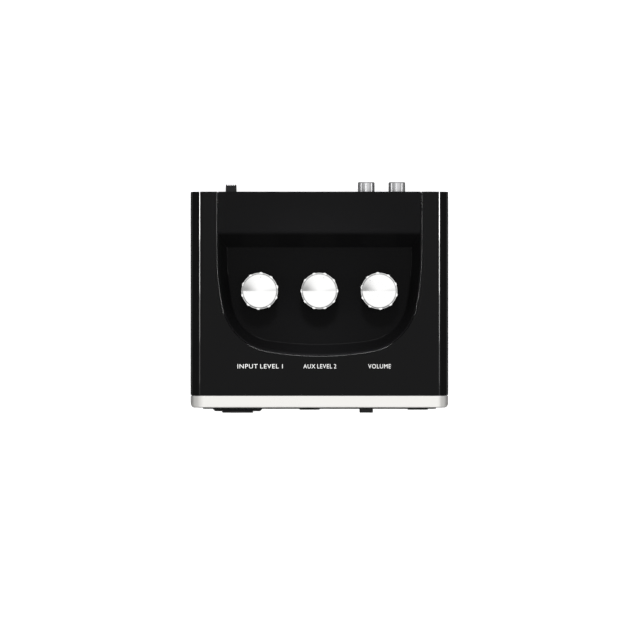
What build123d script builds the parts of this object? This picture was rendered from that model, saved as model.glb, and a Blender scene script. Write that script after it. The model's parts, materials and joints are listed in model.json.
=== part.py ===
"""Two-channel desktop audio interface: shell, dished control top, boards, jacks, switches and knobs.

Frame: millimetres, +Z up, the front panel faces -Y, and the origin is on the desk surface
at the middle of the whole object's outline.
"""

from build123d import *
from math import atan2, cos, radians, sin, tan
import os

# ---- driving dimensions ----
BODY_W = 129.0            # widest point of the shells
TOP_Z = 40.0              # top surface above the desk
TRAY_Z = 2.0              # underside of the bottom tray, which the feet lift off the desk
SEAM_Z = 12.0             # joint between tray and cover, also the widest height
BASE_W = 125.0            # width across the underside before its corners are rounded
SHOULDER_W = 126.4        # width across the top before its corners are rounded
SHOULDER_R = 5.5          # round of the two long top edges
BASE_R = 3.0
WALL = 2.2
SHELL_FRONT = -48.8       # front edge of cover and tray
SHELL_REAR = 52.8         # rear edge of cover and tray, which overhang the rear panel
FIT = 0.15                # gap between parts that drop into each other

BEZEL_FRONT, BEZEL_REAR = -55.1, -49.2
BEZEL_CORNER_R = 2.2      # round of the bezel's front corners seen from above
BEZEL_EDGE_R = 0.7        # round of all its front outer edges
SEAM_STEP = 0.6           # depth of the shadow groove between the shells and the bezel
PANEL_FRONT = -55.7       # face of the front panel, slightly proud of the bezel
WINDOW_W, WINDOW_LOW, WINDOW_HIGH, WINDOW_R = 117.0, 6.5, 35.5, 5.0
PANEL_LIP = 1.3           # hidden rim of the front panel behind the bezel window

REAR_FACE = 49.0          # outer face of the rear panel
REAR_THICK = 1.5
GROOVE = 0.8              # depth of the rear panel's groove in the shells

# ---- dished control area in the top ----
DISH_DEPTH = 6.0
DISH_WALL = 2.0
DISH_COVE = 1.0           # small radius between the dish floor and its walls
FLOOR_Z = TOP_Z - DISH_DEPTH
RIM = {"side": 51.0, "rear": 32.7, "front": -29.15, "side_r": 158.0, "front_r": 154.0}
FLOOR = {"side": 46.1, "rear": 24.9, "front": -23.65, "side_r": 152.0, "front_r": 170.0}
STRAIGHT_Y = 24.0         # where the straight sides of the dish turn into long arcs
SIDE_TURN = radians(10.5)
BRIDGE_W = 101.0          # flat bridge behind the dish, between two narrow grooves
BRIDGE_EDGE_R = 3.0
FLANGE = 1.8              # rim of the dish moulding tucked under the cover

# ---- knobs and pots ----
KNOB_PITCH, KNOB_Y = 29.8, 3.2
KNOB_R, KNOB_LOW, KNOB_HIGH = 9.2, 34.7, 47.0
KNOB_DOME = 1.1           # rise of the domed top
RIB_COUNT, RIB_R, RIB_PROUD = 10, 0.95, 0.28
KNOBS = {                 # name: (x, turn of the ribs at rest, in degrees)
    "mic_gain": (-KNOB_PITCH, -4.4),
    "inst_gain": (0.0, 18.0),
    "output": (KNOB_PITCH, 4.8),
}
SHAFT_R, SHAFT_FLAT = 3.0, 1.6
SHAFT_TOP = 44.6
BUSH_R, BUSH_TOP = 3.5, 36.4
POT_W, POT_D, POT_H = 9.8, 11.0, 6.6

# ---- boards ----
BOARD_T = 1.6
MAIN_TOP = 8.1
MAIN_X, MAIN_FRONT, MAIN_REAR = 54.5, -50.0, 46.6
CONTROL_LOW, CONTROL_TOP = 22.9, 24.5
CONTROL_X, CONTROL_FRONT, CONTROL_REAR = 44.0, -13.0, 22.0
MAIN_SCREWS = [(-49.0, -2.0), (49.0, -2.0), (-8.0, 34.0), (8.0, -20.0)]
CONTROL_SCREWS = [(-38.0, 16.0), (38.0, 16.0), (-35.0, -7.0), (35.0, -7.0)]
CASE_SCREWS = [(-58.0, -22.0), (58.0, -22.0), (-58.0, 40.0), (58.0, 40.0)]
SCREW_R, PILOT_R = 1.2, 1.25

# ---- front connectors, as (x, z) ----
COMBO_X, COMBO_Z = -40.9, 21.0
COLLAR_R, CORE_R, GAP_R = 12.3, 7.75, 9.7
COLLAR_FRONT, CORE_FRONT = -56.9, -57.7
COMBO_W, COMBO_TOP, COMBO_BACK = 26.4, 34.1, -31.2
XLR_DEPTH = -42.0
XLR_PIN_RING, XLR_PIN_R = 5.5, 1.55
PLUG_R = 3.25             # sleeve bore for a 6.35 mm plug
JACKS = {"instrument": -4.9, "headphone": 49.2}
JACK_Z, JACK_W, JACK_TOP, JACK_BACK = 16.5, 12.6, 24.0, -24.5
JACK_NOSE_R, JACK_FRONT = 5.2, -56.2
JACK_SLEEVE_END = -43.0
BUTTON_X, BUTTON_Z, BUTTON_W = 23.4, 14.0, 6.75
BUTTON_FRONT, BUTTON_TRAVEL = -57.7, 1.6
LED_X, LED_Z, LED_R = 36.2, 14.0, 1.5
HOUSING_FACE = PANEL_FRONT + 4.5   # jack housings start just behind the front panel

# ---- rear connectors ----
RCAS = {"left": 23.45, "right": 38.75}
RCA_Z, RCA_R, RCA_BORE, RCA_FOOT, RCA_TIP = 17.0, 4.15, 3.5, 50.2, 57.7
LEVER_X, LEVER_Z, LEVER_TIP, LEVER_TRAVEL = -44.2, 12.0, 56.5, 4.0
USB_X, USB_W, USB_H, USB_REAR = -18.0, 12.0, 10.9, 49.5
LOCK_X, LOCK_Z, LOCK_W, LOCK_H = 53.0, 14.0, 7.2, 3.2

# ---- feet ----
FEET = {
    "front_left": (-48.0, -38.0),
    "front_right": (48.0, -38.0),
    "rear_left": (-48.0, 41.0),
    "rear_right": (48.0, 41.0),
}
FOOT_R, FOOT_RECESS = 6.0, 0.5


# ---- helpers ----
def block(x0, x1, y0, y1, z0, z1):
    """A box between two corners."""
    return Pos((x0 + x1) / 2, (y0 + y1) / 2, (z0 + z1) / 2) * Box(x1 - x0, y1 - y0, z1 - z0)


def post(x, y, radius, z0, z1):
    """A cylinder standing along Z."""
    return Pos(x, y, (z0 + z1) / 2) * Cylinder(radius, z1 - z0)


def barrel(x, z, radius, y0, y1):
    """A cylinder lying along Y."""
    return Pos(x, (y0 + y1) / 2, z) * Rot(X=90) * Cylinder(radius, y1 - y0)


def slab(sketch, y0, y1):
    """A sketch drawn in x and z, thickened from y0 to y1."""
    return extrude(Pos(0, y1, 0) * (Plane.XZ * sketch), amount=y1 - y0)


def tablet(x, z, width, height, radius, y0, y1):
    """A rounded rectangle in x and z, thickened from y0 to y1."""
    return slab(Pos(x, z) * RectangleRounded(width, height, radius), y0, y1)


def body_section(inset):
    """The outline of the whole body across its width, moved inwards by inset."""
    right = [
        (BASE_W / 2 - inset, TRAY_Z + inset),
        (BODY_W / 2 - inset, SEAM_Z),
        (SHOULDER_W / 2 - inset, TOP_Z - inset),
    ]
    left = [(-x, z) for x, z in reversed(right)]
    face = make_face(Polyline(*right, *left, close=True))
    low, _, high = face.vertices().group_by(Axis.Y)
    face = fillet(low, max(BASE_R - inset, 0.4))
    high = face.vertices().group_by(Axis.Y)[-1]
    corners = [v for v in face.vertices() if v.Y > TOP_Z - inset - 0.01]
    return fillet(corners or high, max(SHOULDER_R - inset, 0.4))


def body_slab(inset, y0, y1):
    return slab(body_section(inset), y0, y1)


def body_ring(outer, inner, y0, y1):
    """The band between two insets of the body section."""
    return body_slab(outer, y0, y1) - body_slab(inner, y0 - 1, y1 + 1)


def dish_outline(side, rear, front, side_r, front_r):
    """The dish seen from above: straight sides, long side arcs, round corners and a bowed front."""
    inward = Vector(cos(SIDE_TURN), sin(SIDE_TURN))
    side_centre = Vector(side_r - side, STRAIGHT_Y)
    side_end = side_centre - inward * side_r
    front_centre = Vector(0, front + front_r)
    reach = side_end - front_centre
    corner_r = (front_r**2 - reach.dot(reach)) / (2 * (reach.dot(inward) + front_r))
    corner_centre = side_end + inward * corner_r
    outward = (corner_centre - front_centre).normalized()
    corner_end = front_centre + outward * front_r
    side_mid = side_centre - Vector(cos(SIDE_TURN / 2), sin(SIDE_TURN / 2)) * side_r
    corner_mid = corner_centre + (outward - inward).normalized() * corner_r

    def flip(point):
        return Vector(-point.X, point.Y)

    top_left, top_right = Vector(-side, rear), Vector(side, rear)
    edges = [
        Line(top_left, Vector(-side, STRAIGHT_Y)),
        ThreePointArc(Vector(-side, STRAIGHT_Y), side_mid, side_end),
        ThreePointArc(side_end, corner_mid, corner_end),
        ThreePointArc(corner_end, Vector(0, front), flip(corner_end)),
        ThreePointArc(flip(corner_end), flip(corner_mid), flip(side_end)),
        ThreePointArc(flip(side_end), flip(side_mid), Vector(side, STRAIGHT_Y)),
        Line(Vector(side, STRAIGHT_Y), top_right),
        Line(top_right, top_left),
    ]
    return make_face(Wire([edge.edge() for edge in edges]))


def grown(outline, by, rear=None):
    """A dish outline's driving sizes with its sides and front moved outwards."""
    wider = dict(outline, side=outline["side"] + by, front=outline["front"] - by)
    wider["side_r"] += by
    wider["front_r"] += by
    wider["rear"] = outline["rear"] + by if rear is None else rear
    return wider


def dish_bowl(rim, floor, rim_z, floor_z):
    """The solid between a rim outline and a floor outline below it."""
    high = Pos(0, 0, rim_z) * dish_outline(**rim)
    low = Pos(0, 0, floor_z) * dish_outline(**floor)
    return loft([low, high], ruled=True)


def pin_holes(points, radius):
    """Drillings through the main board."""
    return [post(x, y, radius, MAIN_TOP - BOARD_T - 1, MAIN_TOP + 1) for x, y in points]


# solder pins under each through-hole part, as (x, y)
COMBO_PINS = [(COMBO_X + dx, y) for dx in (-9.0, 0.0, 9.0) for y in (-46.0, -34.0)]
JACK_PINS = [(x + dx, y) for x in JACKS.values() for dx in (-4.5, 4.5) for y in (-44.0, -30.0)]
RCA_PINS = [(x + dx, 41.0) for x in RCAS.values() for dx in (-4.0, 0.0)]
USB_PINS = [(USB_X + dx, y) for dx in (-1.25, 1.25) for y in (33.5, 36.0)]
SOLDER_PIN_R, DRILL_R, PIN_LOW = 0.4, 0.5, 5.2


def solder_pins(points):
    """Pins through the main board, ending at its top face."""
    return [post(x, y, SOLDER_PIN_R, PIN_LOW, MAIN_TOP) for x, y in points]


# ---- enclosure ----
def rear_groove():
    return body_slab(WALL - GROOVE, REAR_FACE - REAR_THICK - 0.1, REAR_FACE + 0.1)


def top_cover():
    """Upper shell: roof, two side walls and four screw posts, open at the front and rear."""
    shell = body_ring(0, WALL, SHELL_FRONT, SHELL_REAR)
    shell += body_ring(SEAM_STEP, WALL, BEZEL_REAR, SHELL_FRONT + 1)
    shell &= block(-70, 70, -70, 70, SEAM_Z, TOP_Z + 1)
    opening = extrude(dish_outline(**grown(RIM, 0, rear=SHELL_REAR + 5)), amount=TOP_Z + 1)
    posts = [post(x, y, 2.8, 7.6, TOP_Z - WALL + 0.1) for x, y in CASE_SCREWS]
    shell += posts
    shell -= opening
    rim = shell.edges().filter_by_position(Axis.Z, TOP_Z - 0.01, TOP_Z + 0.01)
    rim = [e for e in rim if abs(e.center().X) < RIM["side"] + 0.5 and e.center().Y < SHELL_REAR - 1
           and e.center().Y > SHELL_FRONT + 5]
    shell = fillet(rim, 0.4)
    shell -= rear_groove()
    for x, y in CASE_SCREWS:
        shell -= post(x, y, PILOT_R, 7.0, 20.0)
    return shell


def bottom_tray():
    """Lower shell with board pillars, screw bosses, foot recesses and vent slots."""
    shell = body_ring(0, WALL, SHELL_FRONT, SHELL_REAR)
    shell += body_ring(SEAM_STEP, WALL, BEZEL_REAR, SHELL_FRONT + 1)
    shell &= block(-70, 70, -70, 70, TRAY_Z - 1, SEAM_Z - 0.1)
    lip = body_ring(WALL + 0.1, WALL + 1.1, SHELL_FRONT + 5, REAR_FACE - REAR_THICK - 1)
    lip &= block(-70, 70, -70, 70, SEAM_Z - 3, SEAM_Z + 1.4)
    lip -= [post(x, y, 3.1, 7, 20) for x, y in CASE_SCREWS]
    web = body_ring(WALL - 0.5, WALL + 1.1, SHELL_FRONT + 5, REAR_FACE - REAR_THICK - 1)
    web &= block(-70, 70, -70, 70, SEAM_Z - 3, SEAM_Z - 1)
    web -= [post(x, y, 3.1, 7, 20) for x, y in CASE_SCREWS]
    floor_top = TRAY_Z + WALL
    shell += [lip, web]
    shell += [post(x, y, 3.0, floor_top - 0.1, MAIN_TOP - BOARD_T) for x, y in MAIN_SCREWS]
    shell += [post(x, y, 3.2, floor_top - 0.1, 7.4) for x, y in CASE_SCREWS]
    for x, y in CASE_SCREWS:
        shell -= post(x, y, 2.7, TRAY_Z - 1, TRAY_Z + 1.8)
        shell -= post(x, y, 1.5, TRAY_Z, 8)
    for x, y in MAIN_SCREWS:
        shell -= post(x, y, PILOT_R, TRAY_Z + 1.0, 8)
    for x, y in FEET.values():
        shell -= post(x, y, FOOT_R + 0.15, TRAY_Z - 1, TRAY_Z + FOOT_RECESS)
    slot = Pos(0, 0) * SlotOverall(16, 2)
    for row_x in (-24.0, 0.0, 24.0):
        for n in range(6):
            y = -8.0 + n * 4.5
            shell -= extrude(Pos(row_x, y, TRAY_Z - 1) * slot, amount=WALL + 2)
    return shell - rear_groove()


def bridge_edge_cut():
    """What is removed to round the edge between the bridge and the slope into the dish."""
    slope = atan2(DISH_DEPTH, RIM["rear"] - FLOOR["rear"])
    run = BRIDGE_EDGE_R * tan(slope / 2)
    centre_y, centre_z = RIM["rear"] + run, TOP_Z - BRIDGE_EDGE_R
    low = (RIM["rear"] - run * cos(slope), TOP_Z - run * sin(slope))
    middle = (centre_y - BRIDGE_EDGE_R * sin(slope / 2), centre_z + BRIDGE_EDGE_R * cos(slope / 2))
    high = (centre_y, TOP_Z)
    edges = [
        ThreePointArc(low, middle, high),
        Polyline(high, (centre_y, TOP_Z + 1), (low[0], TOP_Z + 1), low),
    ]
    return extrude(Plane.YZ * make_face(edges), amount=60, both=True), low[0]


def control_dish():
    """The dished centre of the top, with the bridge behind it and its hidden rim."""
    outside = dish_bowl(grown(RIM, DISH_WALL * 0.6), grown(FLOOR, DISH_WALL * 0.6),
                        TOP_Z - 0.3, FLOOR_Z - DISH_WALL)
    bridge = block(-BRIDGE_W / 2, BRIDGE_W / 2, RIM["rear"] - 6, SHELL_REAR, TOP_Z - WALL, TOP_Z)
    flange_low, flange_high = TOP_Z - WALL - 1.6, TOP_Z - WALL - 0.1
    flange = extrude(Pos(0, 0, flange_low) * dish_outline(**grown(RIM, FLANGE, rear=46.8)),
                     amount=flange_high - flange_low)
    body = outside + bridge + flange
    keep = extrude(dish_outline(**grown(RIM, -FIT, rear=SHELL_REAR + 1)), amount=TOP_Z + 1)
    body &= keep + block(-70, 70, -70, 70, 0, flange_high)
    edge_cut, edge_start = bridge_edge_cut()
    for side in (-1, 1):
        groove_x = side * (BRIDGE_W / 2 + 5)
        body -= block(groove_x - 5, groove_x + 5, edge_start, 70, flange_high, TOP_Z + 1)
    bowl = dish_bowl(RIM, FLOOR, TOP_Z, FLOOR_Z)
    foot_line = bowl.edges().filter_by_position(Axis.Z, FLOOR_Z - 0.01, FLOOR_Z + 0.01)
    bowl = fillet(foot_line, DISH_COVE)
    bowl += extrude(Pos(0, 0, TOP_Z - 0.01) * dish_outline(**RIM), amount=1)
    body -= bowl
    body -= edge_cut
    body += [post(x, y, 2.8, CONTROL_TOP, FLOOR_Z - DISH_WALL + 0.1) for x, y in CONTROL_SCREWS]
    for x, _ in KNOBS.values():
        body -= post(x, KNOB_Y, BUSH_R + FIT, FLOOR_Z - DISH_WALL - 1, FLOOR_Z + 1)
    for x, y in CONTROL_SCREWS:
        body -= post(x, y, PILOT_R, CONTROL_TOP - 1, FLOOR_Z - DISH_WALL - 0.8)
    return body - rear_groove()


def window(grow, radius, y0, y1):
    middle = (WINDOW_LOW + WINDOW_HIGH) / 2
    height = WINDOW_HIGH - WINDOW_LOW
    return tablet(0, middle, WINDOW_W + 2 * grow, height + 2 * grow, radius, y0, y1)


def front_bezel():
    """Silver frame round the front panel, with a spigot that enters both shells."""
    plan = Rectangle(BODY_W, BEZEL_REAR - BEZEL_FRONT)
    plan = fillet(plan.vertices().group_by(Axis.Y)[0], BEZEL_CORNER_R)
    frame = body_slab(0, BEZEL_FRONT, BEZEL_REAR)
    frame &= extrude(Pos(0, (BEZEL_FRONT + BEZEL_REAR) / 2, 0) * plan, amount=TOP_Z)
    nose = frame.faces().sort_by(Axis.Y)[0]
    frame = fillet(nose.edges(), BEZEL_EDGE_R)
    frame += body_ring(WALL + FIT, WALL + 1.6, BEZEL_REAR, BEZEL_REAR + 3.8)
    frame -= window(0, WINDOW_R, BEZEL_FRONT - 1, BEZEL_REAR + 6)
    frame -= window(PANEL_LIP + FIT, WINDOW_R + PANEL_LIP, PANEL_FRONT + 3.0, BEZEL_REAR + 6)
    return frame


def front_panel():
    """Black plate behind the bezel window, cut for the jacks, button and indicator."""
    plate = window(-FIT, WINDOW_R - FIT, PANEL_FRONT, PANEL_FRONT + 3.1)
    face = plate.faces().sort_by(Axis.Y)[0]
    plate = fillet(face.edges(), 0.5)
    plate += window(PANEL_LIP, WINDOW_R + PANEL_LIP, PANEL_FRONT + 3.1, HOUSING_FACE - 0.1)
    far = HOUSING_FACE + 1
    plate -= barrel(COMBO_X, COMBO_Z, COLLAR_R + 0.1, PANEL_FRONT - 1, far)
    for x in JACKS.values():
        plate -= barrel(x, JACK_Z, JACK_NOSE_R + 0.1, PANEL_FRONT - 1, far)
    hole = BUTTON_W + 2 * FIT
    plate -= tablet(BUTTON_X, BUTTON_Z, hole, hole, 0.7, PANEL_FRONT - 1, far)
    plate -= barrel(LED_X, LED_Z, LED_R + 0.1, PANEL_FRONT - 1, far)
    return plate


def rear_panel():
    """Plate that slides into the groove at the back, cut for the rear connectors."""
    plate = body_slab(WALL - GROOVE + 0.1, REAR_FACE - REAR_THICK, REAR_FACE)
    near, far = REAR_FACE - REAR_THICK - 1, REAR_FACE + 1
    for x in RCAS.values():
        plate -= barrel(x, RCA_Z, 5.2, near, far)
    plate -= block(USB_X - USB_W / 2 - FIT, USB_X + USB_W / 2 + FIT, near, far,
                   MAIN_TOP - FIT, MAIN_TOP + USB_H + FIT)
    plate -= tablet(LEVER_X + LEVER_TRAVEL / 2, LEVER_Z, 10.8, 4.6, 0.8, near, far)
    plate -= tablet(LOCK_X, LOCK_Z, LOCK_W, LOCK_H, 0.8, near, far)
    return plate


def lock_plate():
    """Steel plate behind the security slot."""
    back = REAR_FACE - REAR_THICK
    plate = block(LOCK_X - 6, LOCK_X + 6, back - 1.5, back, LOCK_Z - 4.5, LOCK_Z + 4.5)
    plate = fillet(plate.edges().filter_by(Axis.Y), 1.0)
    return plate - tablet(LOCK_X, LOCK_Z, LOCK_W - 0.4, LOCK_H - 0.4, 0.6, 44, 48)


def foot(x, y):
    """Rubber foot pressed into its recess."""
    pad = post(x, y, FOOT_R, 0, TRAY_Z + FOOT_RECESS)
    return fillet(pad.edges().sort_by(Axis.Z)[0], 0.6)


def screw(x, y, head_z, tip_z, head_r=2.4, head_h=1.5):
    """Cross-head screw whose head bears at head_z, driven upwards or downwards to tip_z."""
    up = 1 if tip_z > head_z else -1
    low, high = sorted((head_z, head_z - up * head_h))
    head = post(x, y, head_r, low, high)
    outer = head.edges().filter_by(GeomType.CIRCLE).sort_by(Axis.Z)[0 if up > 0 else -1]
    head = fillet(outer, 0.6)
    slot_low, slot_high = sorted((head_z - up * head_h, head_z - up * (head_h - 0.8)))
    for length, width in ((2.6, 0.6), (0.6, 2.6)):
        head -= block(x - length / 2, x + length / 2, y - width / 2, y + width / 2,
                      slot_low, slot_high)
    shank_low, shank_high = sorted((head_z - up * 0.2, tip_z))
    return head + post(x, y, SCREW_R, shank_low, shank_high)


# ---- knobs and pots ----
def knob(name):
    """Turned metal knob with ten ribs, a domed top and a hollow underside."""
    x, phase = KNOBS[name]
    body = post(x, KNOB_Y, KNOB_R, KNOB_LOW, KNOB_HIGH - KNOB_DOME)
    dome_r = (KNOB_R**2 + KNOB_DOME**2) / (2 * KNOB_DOME)
    ball = Pos(x, KNOB_Y, KNOB_HIGH - dome_r) * Sphere(dome_r)
    cap = ball & post(x, KNOB_Y, KNOB_R - 0.5, KNOB_HIGH - KNOB_DOME - 0.3, KNOB_HIGH + 1)
    edge = body.edges().filter_by(GeomType.CIRCLE).sort_by(Axis.Z)[-1]
    body = fillet(edge, 0.4) + cap
    reach = KNOB_R + RIB_PROUD - RIB_R
    for n in range(RIB_COUNT):
        angle = radians(90 + phase + n * 360 / RIB_COUNT)
        body += post(x + reach * cos(angle), KNOB_Y + reach * sin(angle), RIB_R,
                     KNOB_LOW, KNOB_HIGH - KNOB_DOME - 0.25)
    body -= post(x, KNOB_Y, 7.4, KNOB_LOW - 1, KNOB_LOW + 3.0)
    socket = post(x, KNOB_Y, SHAFT_R + 0.02, KNOB_LOW, SHAFT_TOP + 0.3)
    flat = KNOB_Y - SHAFT_FLAT - 0.02
    return body - (socket & block(x - 9, x + 9, flat, KNOB_Y + 9, 0, 60))


def pot_shaft(name):
    """D-shaped shaft and the wiper disc on its lower end."""
    x, _ = KNOBS[name]
    shaft = post(x, KNOB_Y, SHAFT_R, CONTROL_TOP + 2.0, SHAFT_TOP)
    shaft = chamfer(shaft.edges().filter_by(GeomType.CIRCLE).sort_by(Axis.Z)[-1], 0.4)
    shaft -= block(x - 9, x + 9, KNOB_Y - 9, KNOB_Y - SHAFT_FLAT, BUSH_TOP + 0.3, 60)
    return shaft + post(x, KNOB_Y, 4.0, CONTROL_TOP + 1.6, CONTROL_TOP + 3.0)


def pot_body(name):
    """Board-mounted pot: case, threaded bush and three legs."""
    x, _ = KNOBS[name]
    case = block(x - POT_W / 2, x + POT_W / 2, KNOB_Y - POT_D / 2, KNOB_Y + POT_D / 2,
                 CONTROL_TOP, CONTROL_TOP + POT_H)
    case = chamfer(case.edges().filter_by(Axis.Z), 0.8)
    case += post(x, KNOB_Y, BUSH_R, CONTROL_TOP + POT_H - 0.1, BUSH_TOP)
    case -= post(x, KNOB_Y, SHAFT_R + 0.05, CONTROL_TOP + 1.0, BUSH_TOP + 1)
    case -= post(x, KNOB_Y, 4.2, CONTROL_TOP + 1.4, CONTROL_TOP + 3.2)
    for dx in (-2.5, 0.0, 2.5):
        case += post(x + dx, KNOB_Y - POT_D / 2 + 0.8, 0.45, CONTROL_LOW - 1.2, CONTROL_TOP + 0.2)
    return case


def pot_nut(x):
    """Washer and hexagon nut that clamp a pot's bush to the dish floor."""
    washer = post(x, KNOB_Y, 5.8, FLOOR_Z, FLOOR_Z + 0.4)
    nut = extrude(Pos(x, KNOB_Y, FLOOR_Z + 0.4) * RegularPolygon(5.6, 6), amount=1.7)
    return washer + nut - post(x, KNOB_Y, BUSH_R + 0.02, FLOOR_Z - 1, FLOOR_Z + 4)


# ---- boards ----
def main_board():
    board = block(-MAIN_X, MAIN_X, MAIN_FRONT, MAIN_REAR, MAIN_TOP - BOARD_T, MAIN_TOP)
    board = fillet(board.edges().filter_by(Axis.Z), 2.0)
    board -= pin_holes(COMBO_PINS + JACK_PINS + RCA_PINS + USB_PINS, DRILL_R)
    board -= pin_holes(MAIN_SCREWS, SCREW_R + 0.2)
    return board


def control_board():
    board = block(-CONTROL_X, CONTROL_X, CONTROL_FRONT, CONTROL_REAR, CONTROL_LOW, CONTROL_TOP)
    board = fillet(board.edges().filter_by(Axis.Z), 1.5)
    for x, _ in KNOBS.values():
        for dx in (-2.5, 0.0, 2.5):
            board -= post(x + dx, KNOB_Y - POT_D / 2 + 0.8, 0.55, CONTROL_LOW - 1, CONTROL_TOP + 1)
    for x, y in CONTROL_SCREWS:
        board -= post(x, y, SCREW_R + 0.2, CONTROL_LOW - 1, CONTROL_TOP + 1)
    return board


LINK_X, LINK_Y, LINK_SPLIT = -24.0, 17.0, 15.0


def board_link_header():
    """Pin strip that stands on the main board."""
    strip = block(LINK_X - 10, LINK_X + 10, LINK_Y - 2.5, LINK_Y + 2.5, MAIN_TOP, LINK_SPLIT - 4)
    return strip + [post(LINK_X - 8.75 + 2.5 * n, LINK_Y + dy, 0.35, LINK_SPLIT - 4.1, LINK_SPLIT + 2)
                    for n in range(8) for dy in (-1.25, 1.25)]


def board_link_socket():
    """Socket under the control board that takes the pin strip."""
    strip = block(LINK_X - 10.4, LINK_X + 10.4, LINK_Y - 2.7, LINK_Y + 2.7,
                  LINK_SPLIT - 3.9, CONTROL_LOW)
    return strip - [post(LINK_X - 8.75 + 2.5 * n, LINK_Y + dy, 0.45, LINK_SPLIT - 5, LINK_SPLIT + 3)
                    for n in range(8) for dy in (-1.25, 1.25)]


def gull_chip(x, y, width, depth, height, leads, pitch):
    """Moulded chip with a row of leads along two sides."""
    base = MAIN_TOP
    body = block(x - width / 2, x + width / 2, y - depth / 2, y + depth / 2,
                 base + 0.15, base + height)
    body = chamfer(body.faces().sort_by(Axis.Z)[-1].edges(), 0.2)
    first = x - pitch * (leads - 1) / 2
    for n in range(leads):
        lead_x = first + n * pitch
        body += block(lead_x - 0.2, lead_x + 0.2, y - depth / 2 - 0.8, y + depth / 2 + 0.8,
                      base, base + 0.25)
    return body


def electrolytic(x, y, radius, height):
    """Can capacitor with its crimped waist."""
    can = post(x, y, radius, MAIN_TOP, MAIN_TOP + height)
    can = fillet(can.edges().filter_by(GeomType.CIRCLE).sort_by(Axis.Z)[-1], 0.5)
    crimp = Pos(x, y, MAIN_TOP + 1.6) * Torus(radius + 0.15, 0.4)
    return can - crimp


CAPACITORS = [(-33.0, 2.0, 3.2, 11.0), (-25.0, 2.0, 3.2, 11.0), (20.0, 8.0, 3.2, 11.0),
              (28.0, 8.0, 3.2, 11.0), (-46.0, 18.0, 4.0, 12.0), (40.0, 18.0, 4.0, 12.0),
              (9.0, 34.0, 2.6, 7.0), (-37.0, 30.0, 2.6, 7.0)]


def clock_crystal():
    can = extrude(Pos(-6, 20, MAIN_TOP) * SlotOverall(11, 4.6), amount=3.5)
    return fillet(can.faces().sort_by(Axis.Z)[-1].edges(), 0.6)


def power_inductor():
    core = block(-4, 4, 24, 32, MAIN_TOP, MAIN_TOP + 4)
    core = fillet(core.edges().filter_by(Axis.Z), 1.5)
    return core - (post(0, 28, 3.4, MAIN_TOP + 1, MAIN_TOP + 5) - post(0, 28, 2.2, MAIN_TOP, 20))


# ---- front connectors ----
def combo_jack_housing():
    """Combined microphone and phone-plug socket: board housing with a round collar."""
    body = block(COMBO_X - COMBO_W / 2, COMBO_X + COMBO_W / 2, HOUSING_FACE, COMBO_BACK,
                 MAIN_TOP, COMBO_TOP)
    body = fillet(body.edges().filter_by(Axis.Y), 1.0)
    collar = barrel(COMBO_X, COMBO_Z, COLLAR_R, COLLAR_FRONT, HOUSING_FACE + 0.1)
    collar = chamfer(collar.edges().filter_by(GeomType.CIRCLE).sort_by(Axis.Y)[0], 1.0)
    body += collar
    body -= barrel(COMBO_X, COMBO_Z, GAP_R, COLLAR_FRONT - 1, XLR_DEPTH + 2)
    body -= barrel(COMBO_X, COMBO_Z, 3.8, XLR_DEPTH, COMBO_BACK - 1.5)
    return body


def xlr_pin_places():
    """The three microphone contacts, around the lower side of the core."""
    return [(COMBO_X + XLR_PIN_RING * cos(radians(a)), COMBO_Z + XLR_PIN_RING * sin(radians(a)))
            for a in (30, 150, 270)]


def combo_jack_core():
    """Insulating core with the phone-plug bore and three microphone contact holes."""
    core = barrel(COMBO_X, COMBO_Z, CORE_R, CORE_FRONT, XLR_DEPTH + 0.1)
    core = fillet(core.edges().filter_by(GeomType.CIRCLE).sort_by(Axis.Y)[0], 0.5)
    core += barrel(COMBO_X, COMBO_Z, GAP_R - 0.05, XLR_DEPTH, XLR_DEPTH + 1.95)
    core -= barrel(COMBO_X, COMBO_Z, PLUG_R, CORE_FRONT - 1, XLR_DEPTH + 3)
    for x, z in xlr_pin_places():
        core -= barrel(x, z, XLR_PIN_R + 0.05, CORE_FRONT - 1, XLR_DEPTH + 0.5)
    key = block(COMBO_X - 1.4, COMBO_X + 1.4, COLLAR_FRONT + 2, XLR_DEPTH + 0.1,
                COMBO_Z + CORE_R - 0.5, COMBO_Z + CORE_R + 1.0)
    return core + key


def combo_jack_contacts():
    """Three sleeve contacts, two phone-plug springs and the solder pins."""
    parts = [barrel(x, z, XLR_PIN_R, CORE_FRONT + 1.0, XLR_DEPTH + 0.4)
             - barrel(x, z, XLR_PIN_R - 0.35, CORE_FRONT, XLR_DEPTH - 1)
             for x, z in xlr_pin_places()]
    for side in (-1, 1):
        z = COMBO_Z + side * 3.55
        parts.append(block(COMBO_X - 0.9, COMBO_X + 0.9, XLR_DEPTH + 2.5, COMBO_BACK - 2,
                           z - 0.12, z + 0.12))
    return Compound(children=parts + solder_pins(COMBO_PINS))


def phone_jack_housing(name):
    """6.35 mm stereo jack: board housing with a round nose."""
    x = JACKS[name]
    body = block(x - JACK_W / 2, x + JACK_W / 2, HOUSING_FACE, JACK_BACK, MAIN_TOP, JACK_TOP)
    body = chamfer(body.edges().filter_by(Axis.Y), 0.8)
    nose = barrel(x, JACK_Z, JACK_NOSE_R, JACK_FRONT, HOUSING_FACE + 0.1)
    nose = chamfer(nose.edges().filter_by(GeomType.CIRCLE).sort_by(Axis.Y)[0], 0.35)
    body += nose
    body -= barrel(x, JACK_Z, PLUG_R, JACK_FRONT - 1, JACK_SLEEVE_END + 1)
    return body - barrel(x, JACK_Z, 4.4, JACK_SLEEVE_END, JACK_BACK - 1.5)


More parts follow.
